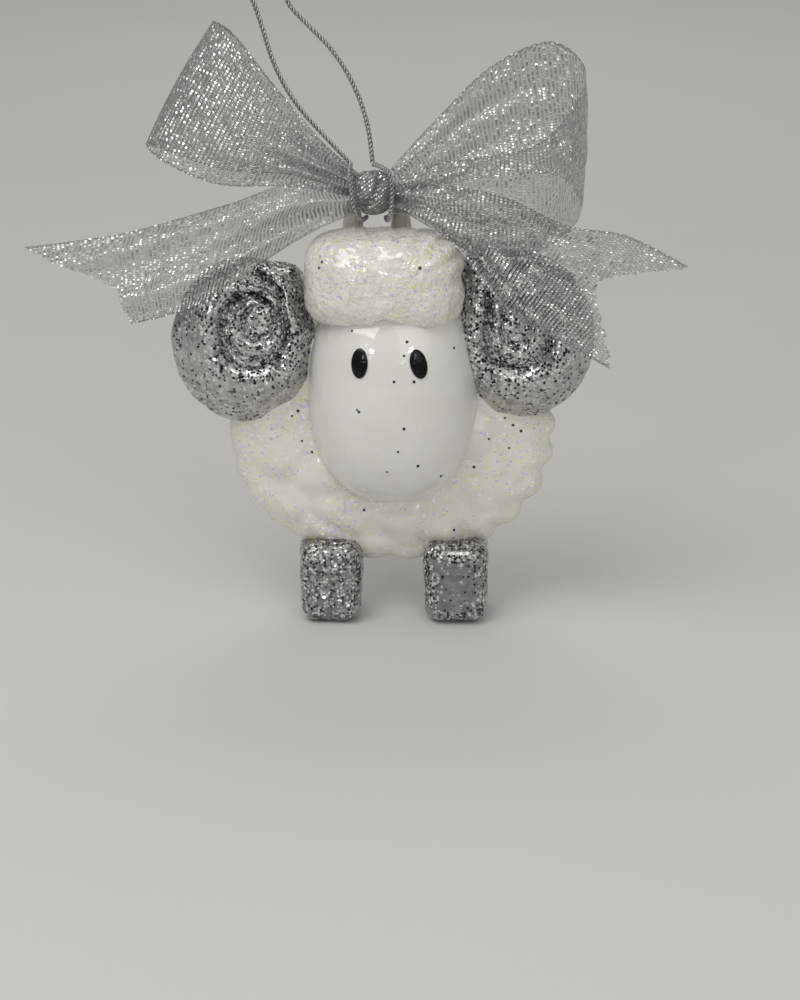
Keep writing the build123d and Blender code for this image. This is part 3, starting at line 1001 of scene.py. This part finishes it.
def make_right_loop():
    """Out and up along the rear, down round the far end and back along the front."""
    stations = [
        (by_knot(3.2, 2.4, 1.2), (-0.2, 0, 1), 0.16, 0.3),
        (by_knot(13.0, 6.0, 6.4), (-0.25, 0, 0.97), 0.48, 0.8),
        (by_knot(23.0, 8.2, 11.4), (-0.2, 0, 0.98), 0.80, 1.2),
        (by_knot(32.6, 7.2, 13.8), (-0.1, 0, 1), 0.98, 1.0),
        (by_knot(37.6, 3.0, 9.9), (0, 0, 1), 1.0, 0.6),
        (by_knot(36.2, -3.0, 5.6), (0, -0.2, 1), 0.96, 0.8),
        (by_knot(29.0, -8.8, 0.4), (0, -0.35, 0.94), 0.90, 1.2),
        (by_knot(19.0, -8.8, -0.8), (0, -0.35, 0.94), 0.80, 1.4),
        (by_knot(10.0, -5.0, 0.2), (0, -0.15, 1), 0.46, 0.8),
        (by_knot(3.2, -1.2, 0), (0, 0, 1), 0.16, 0.3),
    ]
    make_ribbon("right_loop", "ribbon_right_loop", stations, 140, 3, 0.7, 2)


def swallow_cut(low, notch, notch_at, tip):
    """The share of the run at which each thread of a ribbon is cut, from its low edge to its high one."""

    def cut(u):
        if u < notch_at:
            return low + (notch - low) * u / notch_at
        return notch + (tip - notch) * (u - notch_at) / (1 - notch_at)

    return cut


def make_left_tail():
    stations = [
        (on_tail(-3.2, 0.12, -1.4), (0.1, 0, 1), 0.16, 0.3),
        (on_tail(-14.0, 0.5, -3.2), (0.15, 0.2, 0.97), 0.46, 0.8),
        (on_tail(-28.5, 0.95, -9.6), (0.25, 0.25, 0.94), 0.72, 1.6),
        (on_tail(-44.5, 1.0, -14.2), (-0.05, 0.25, 0.97), 0.66, 1.8),
        (on_tail(-64.0, 1.0, -17.6), (-0.3, 0.2, 0.93), 0.70, 1.4),
    ]
    cut = swallow_cut(0.74, 0.76, 0.4, 0.94)
    make_ribbon("left_tail", "ribbon_left_tail", stations, 100, 2, 0.3, 3, cut)


def make_right_tail():
    stations = [
        (on_tail(3.2, -0.02, -2.0), (0.2, 0.1, 0.97), 0.16, 0.3),
        (on_tail(10.3, 0.2, -1.4), (0.3, 0.1, 0.95), 0.26, 0.6),
        (on_tail(20.2, 0.6, -5.6), (0.45, 0.2, 0.87), 0.52, 0.8),
        (on_tail(29.8, 0.97, -12.2), (0.55, 0.22, 0.8), 0.74, 1.0),
        (on_tail(39.4, 1.0, -15.4), (0.6, 0.2, 0.78), 0.9, 1.4),
        (on_tail(54.6, 1.0, -23.6), (0.6, 0.2, 0.78), 0.92, 1.2),
    ]
    cut = swallow_cut(0.93, 0.8, 0.55, 0.93)
    make_ribbon("right_tail", "ribbon_right_tail", stations, 100, 3, 0.15, 4, cut)


def make_knot():
    """A ball drawn out to a barrel, with a tuck of the gathered ribbon winding across it."""
    half = (knot_high - knot_low) / 2
    tuck_depth = 0.9 * MM
    tuck_width = 0.16
    shape = new_ball(96, 72, "X")
    weave = shape.loops.layers.uv.new("weave")
    blunt = 2.1
    rounds = {}
    for vert in shape.verts:
        way = vert.co.normalized()
        size = sum(abs(value) ** blunt for value in way) ** (-1 / blunt)
        angle = math.atan2(way.z, -way.y)
        rounds[vert] = (way.x * size * half.x, angle)
        tuck_at = -0.15 + 0.5 * math.sin(1.5 * angle + 0.5)
        tuck = math.exp(-(((way.x - tuck_at) / tuck_width) ** 2)) * (1 - way.x**2)
        swell = 1 - tuck_depth / half.y * tuck
        vert.co = knot_middle + Vector((way.x * half.x, way.y * half.y * swell, way.z * half.z * swell)) * size
    for face in shape.faces:
        first = rounds[face.verts[0]][1]
        for loop in face.loops:
            across, angle = rounds[loop.vert]
            angle += math.tau * round((first - angle) / math.tau)
            around = angle * half.z
            loop[weave].uv = (12 * MM + across + 0.5 * around, 0.9 * around - 0.7 * across)
    bmesh.ops.recalc_face_normals(shape, faces=shape.faces)
    add_piece("knot", to_mesh(shape), gathered_shaded_weave, "bow", "ribbon", "ribbon_knot")


def make_band():
    """A pleated turn of ribbon round the bar of the eye."""
    low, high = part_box("ribbon_band")
    middle = (low + high) / 2
    outer = (high.y - low.y) / 2
    inner = outer - 0.7 * MM
    half_width = (high.x - low.x) / 2
    shape = bmesh.new()
    weave = shape.loops.layers.uv.new("weave")
    steps = 24
    profile = []
    for number in range(steps):
        share = number / (steps - 1)
        ripple = 0.12 * MM * math.sin(share * math.tau * 3)
        profile.append((-half_width + 2 * half_width * share, outer - 0.12 * MM + ripple))
    profile += [(half_width * 0.97, inner), (-half_width * 0.97, inner)]
    verts = [shape.verts.new((middle.x + x, middle.y - reach, middle.z)) for x, reach in profile]
    edges = [shape.edges.new((first, second)) for first, second in zip(verts, verts[1:] + verts[:1])]
    bmesh.ops.spin(
        shape,
        geom=verts + edges,
        cent=middle,
        axis=(1, 0, 0),
        angle=math.tau,
        steps=56,
        use_merge=True,
    )
    bmesh.ops.recalc_face_normals(shape, faces=shape.faces)
    for face in shape.faces:
        first = math.atan2(face.verts[0].co.z - middle.z, face.verts[0].co.y - middle.y)
        for loop in face.loops:
            angle = math.atan2(loop.vert.co.z - middle.z, loop.vert.co.y - middle.y)
            angle += math.tau * round((first - angle) / math.tau)
            loop[weave].uv = (12 * MM + 2 * (loop.vert.co.x - middle.x), angle * outer)
    add_piece("band", to_mesh(shape), gathered_shaded_weave, "bow", "ribbon", "ribbon_band")


# Loose flakes: stray dark specks where the photograph shows them, and glitter on the horns and feet, whose black
# flakes are painted dark reflections

camera_azimuth = math.radians(1)
camera_pitch = math.radians(19)
camera_lens = 79.58
camera_sensor = 36
camera_back = Vector(
    (
        math.sin(camera_azimuth) * math.cos(camera_pitch),
        -math.cos(camera_azimuth) * math.cos(camera_pitch),
        math.sin(camera_pitch),
    )
)
camera_right = Vector((math.cos(camera_azimuth), math.sin(camera_azimuth), 0))
camera_up = camera_back.cross(camera_right)
camera_spot = Vector((8.03, -397.16, 159.56)) * MM
photo_width = 800
photo_height = 1000

# Dark specks, as (across, down) in pixels of the photograph
face_specks = [
    (352, 331), (407, 342), (404, 356), (414, 382), (394, 382), (357, 410), (359, 412),
    (404, 429), (398, 452), (418, 466), (441, 476), (387, 472), (454, 348),
]
wool_specks = [
    (298, 411), (292, 416), (302, 441), (312, 452), (489, 439), (509, 448), (474, 467),
    (454, 530), (457, 542), (364, 510), (513, 425), (505, 418), (521, 431),
]
forelock_specks = [(420, 268), (319, 268), (322, 262)]


def seen_at(skin, across, down):
    """The point of a skin that the camera sees at a pixel of the photograph, and its normal."""
    pixel = camera_sensor / photo_height / camera_lens
    right = (across - photo_width / 2) * pixel
    up = (photo_height / 2 - down) * pixel
    sight = camera_right * right + camera_up * up - camera_back
    hit, normal, _, _ = skin.ray_cast(camera_spot, sight.normalized())
    return hit, normal


def add_flake(shape, spot, normal, radius, turn):
    """A thin six-sided flake lying on a surface."""
    facing = normal.to_track_quat("Z", "Y").to_matrix().to_4x4()
    placed = Matrix.Translation(spot) @ facing @ Matrix.Rotation(turn, 4, "Z")
    bmesh.ops.create_cone(
        shape,
        cap_ends=True,
        segments=6,
        radius1=radius,
        radius2=radius * 0.85,
        depth=0.12 * MM,
        matrix=placed,
    )


def make_specks(skins):
    chance = random.Random(21)
    shape = bmesh.new()
    for skin, spots in skins:
        for across, down in spots:
            hit, normal = seen_at(skin, across, down)
            add_flake(shape, hit, normal, chance.uniform(0.24, 0.36) * MM, chance.uniform(0, math.tau))
    add_piece("stray_specks", to_mesh(shape), speck_and_dark_reflection_flake, "figure", "glitter")


def make_glitter(name, pieces, finish, share, seed):
    """Flakes strewn over the fronts of pieces, thick where their glitter is thick."""
    chance = random.Random(seed)
    shape = bmesh.new()
    for piece, count, largest in pieces:
        mesh = piece.data
        thick = mesh.attributes["glitter"].data
        weights = []
        for polygon in mesh.polygons:
            shows = polygon.normal.y < 0.3 and polygon.center.z > 0.8 * MM
            weights.append(polygon.area * thick[polygon.vertices[0]].value * shows)
        for polygon in chance.choices(mesh.polygons, weights, k=round(count * share)):
            lean = Vector([chance.uniform(-0.35, 0.35) for _ in range(3)])
            radius = chance.uniform(0.6, 1.0) * largest
            add_flake(shape, polygon.center, (polygon.normal + lean).normalized(), radius, chance.uniform(0, 1))
    add_piece(name, to_mesh(shape), finish, "figure", "glitter")


make_cords()
wool_piece = make_wool()
face_piece = make_face()
face_skin = skin_of(face_piece)
make_eye("left_eye_drop", face_skin, 3, "left_eye")
make_eye("right_eye_drop", face_skin, -16, "right_eye")
forelock_piece = make_forelock()
left_horn = make_horn("left_coil", "left_horn", -1, Vector((0, 0, -0.4)) * MM, Vector((4.4, 7.0)) * MM)
right_horn = make_horn("right_coil", "right_horn", 1, Vector((-1.4, 0, -0.9)) * MM, Vector((-1.4, 4.6)) * MM)
left_foot = make_foot("left_hoof", "left_foot", 11, 0.08, 0.75)
right_foot = make_foot("right_hoof", "right_foot", 12, 0.02, 0.1)

# Each glittered piece with its number of flakes and its largest flake
glittered = [
    (left_horn, 620, 0.34 * MM),
    (right_horn, 620, 0.34 * MM),
    (left_foot, 130, 0.22 * MM),
    (right_foot, 90, 0.22 * MM),
]
make_specks(
    [
        (face_skin, face_specks),
        (skin_of(wool_piece), wool_specks),
        (skin_of(forelock_piece), forelock_specks),
    ]
)
make_glitter("bright_glitter", glittered, bright_flake, 0.55, 31)
# The black glitter flakes are painted dark reflections
make_glitter("dark_reflection_glitter", glittered, speck_and_dark_reflection_flake, 0.45, 32)
make_hanging_eye()
make_knot()
make_band()
make_left_loop()
make_right_loop()
make_left_tail()
make_right_tail()


# Floor, light and camera


def make_floor():
    shape = bmesh.new()
    bmesh.ops.create_grid(shape, x_segments=8, y_segments=8, size=3.0)
    mesh = to_mesh(shape)
    mesh.materials.append(floor_finish())
    floor = bpy.data.objects.new("table", mesh)
    scene.collection.objects.link(floor)


def make_lamp(name, spot, aim, size, power):
    """A soft square lamp that faces its aim."""
    data = bpy.data.lights.new(name, "AREA")
    data.size = size
    data.energy = power
    data.color = (1.0, 0.99, 0.93)
    lamp = bpy.data.objects.new(name, data)
    lamp.location = spot
    lamp.rotation_euler = (Vector(aim) - Vector(spot)).to_track_quat("-Z", "Y").to_euler()
    scene.collection.objects.link(lamp)


def make_world(strength):
    world = bpy.data.worlds.new("soft_room")
    world.use_nodes = True
    shader = Shader(world.node_tree)
    sky = shader.add("ShaderNodeBackground", None, {"Color": (1.0, 1.0, 0.94, 1), "Strength": strength})
    output = shader.tree.nodes.new("ShaderNodeOutputWorld")
    shader.tree.links.new(sky.output, output.inputs["Surface"])
    scene.world = world


def make_camera():
    """At the photograph's viewing angle, looking down."""
    data = bpy.data.cameras.new("view")
    data.lens = camera_lens
    data.sensor_width = camera_sensor
    camera = bpy.data.objects.new("view", data)
    turned = Matrix((camera_right, camera_up, camera_back)).transposed().to_4x4()
    camera.matrix_world = Matrix.Translation(camera_spot) @ turned
    scene.collection.objects.link(camera)
    scene.camera = camera


make_floor()
aim = (0, 0, 0.05)
make_lamp("overhead", (-0.26, -0.32, 0.65), aim, 0.45, 2.0)
make_lamp("front_soft", (0.3, -0.65, 0.55), aim, 0.6, 0.95)
make_lamp("left_spot", (-0.24, -0.62, 0.34), aim, 0.06, 0.24)
make_lamp("right_spot", (0.2, -0.63, 0.34), aim, 0.06, 0.24)
make_lamp("rear_soft", (0, 0.8, 1.0), (0, 1.1, 0), 0.8, 3.4)
make_world(0.27)
make_camera()
scene.view_settings.view_transform = "Standard"
